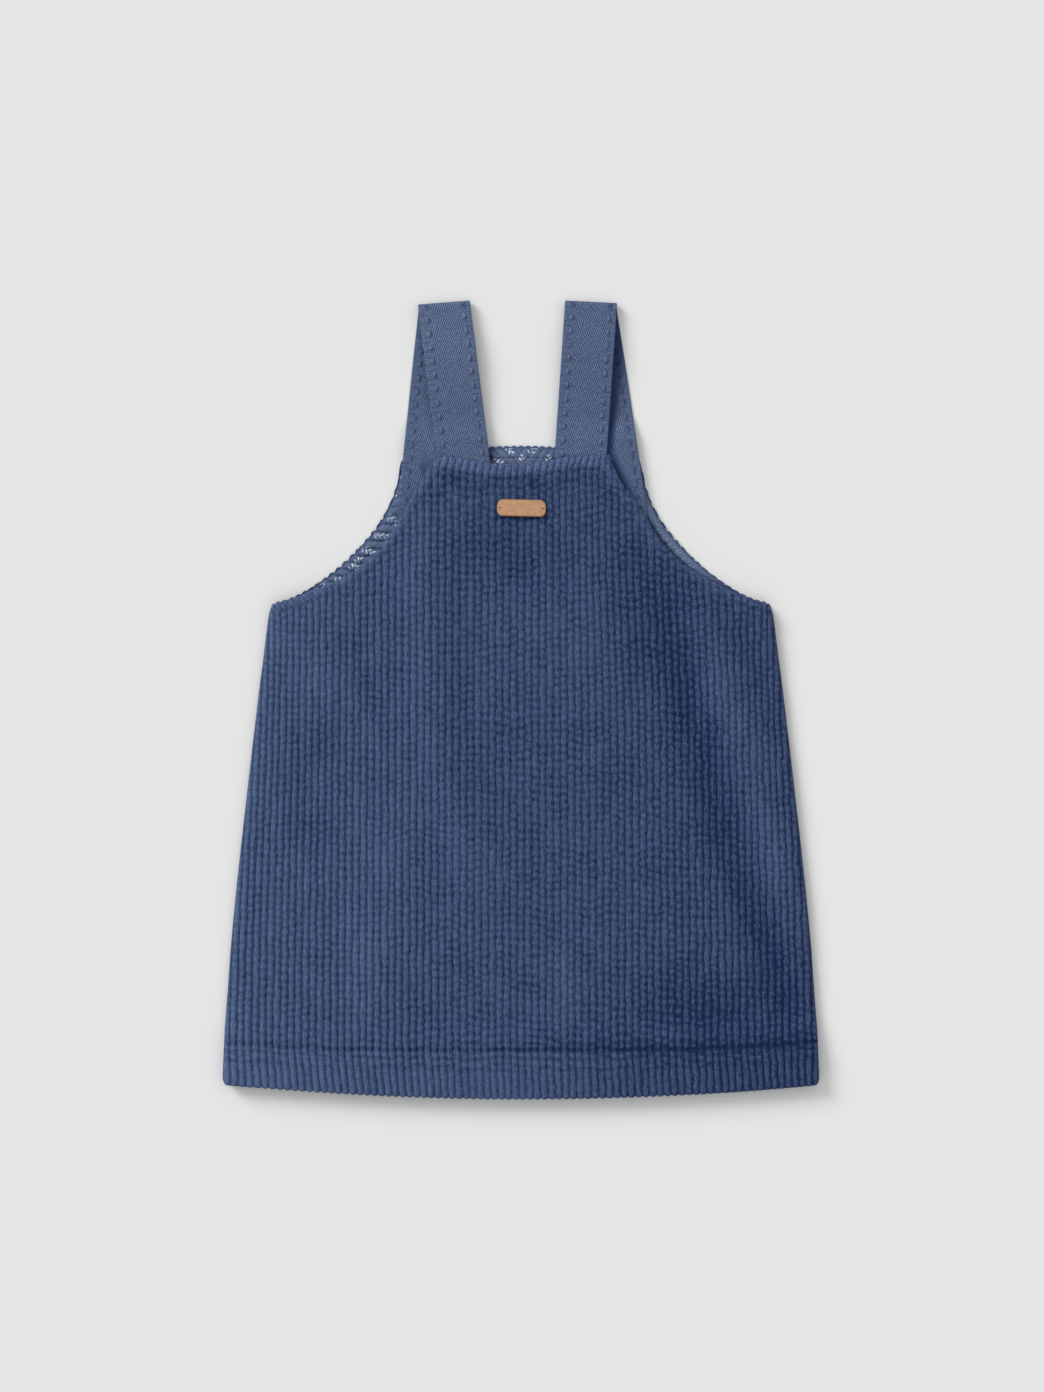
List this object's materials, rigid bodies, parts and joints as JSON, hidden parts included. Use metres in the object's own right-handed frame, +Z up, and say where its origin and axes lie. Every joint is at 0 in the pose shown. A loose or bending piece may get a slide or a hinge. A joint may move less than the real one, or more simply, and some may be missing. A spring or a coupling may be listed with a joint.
{
  "type": "pinafore dress",
  "caption": "Small child's A-line pinafore in wide-wale corduroy, laid flat, with folded tape straps and a bare leather tab.",
  "frame": {"origin": "on the surface that the dress lies on, under the middle of its outline", "axes": "the dress lies on its back: +Y from the hem to the strap folds, +X to the viewer's right as its front is seen, +Z up"},
  "size_m": [0.35, 0.469, 0.0111],
  "materials": {
    "corduroy": "wide-wale blue cotton corduroy, soft crushed pile",
    "twill_tape": "blue cotton twill tape with raised edge stitches",
    "printed_cotton": "plain-weave blue cotton with small pale sprigs",
    "leather": "natural tan leather, matt, bare"
  },
  "bodies": {
    "root": {"front_panel": "corduroy", "back_panel": "corduroy", "back_facing": "printed_cotton", "strap_left": "twill_tape", "strap_right": "twill_tape", "label": "leather"}
  },
  "joints": []
}
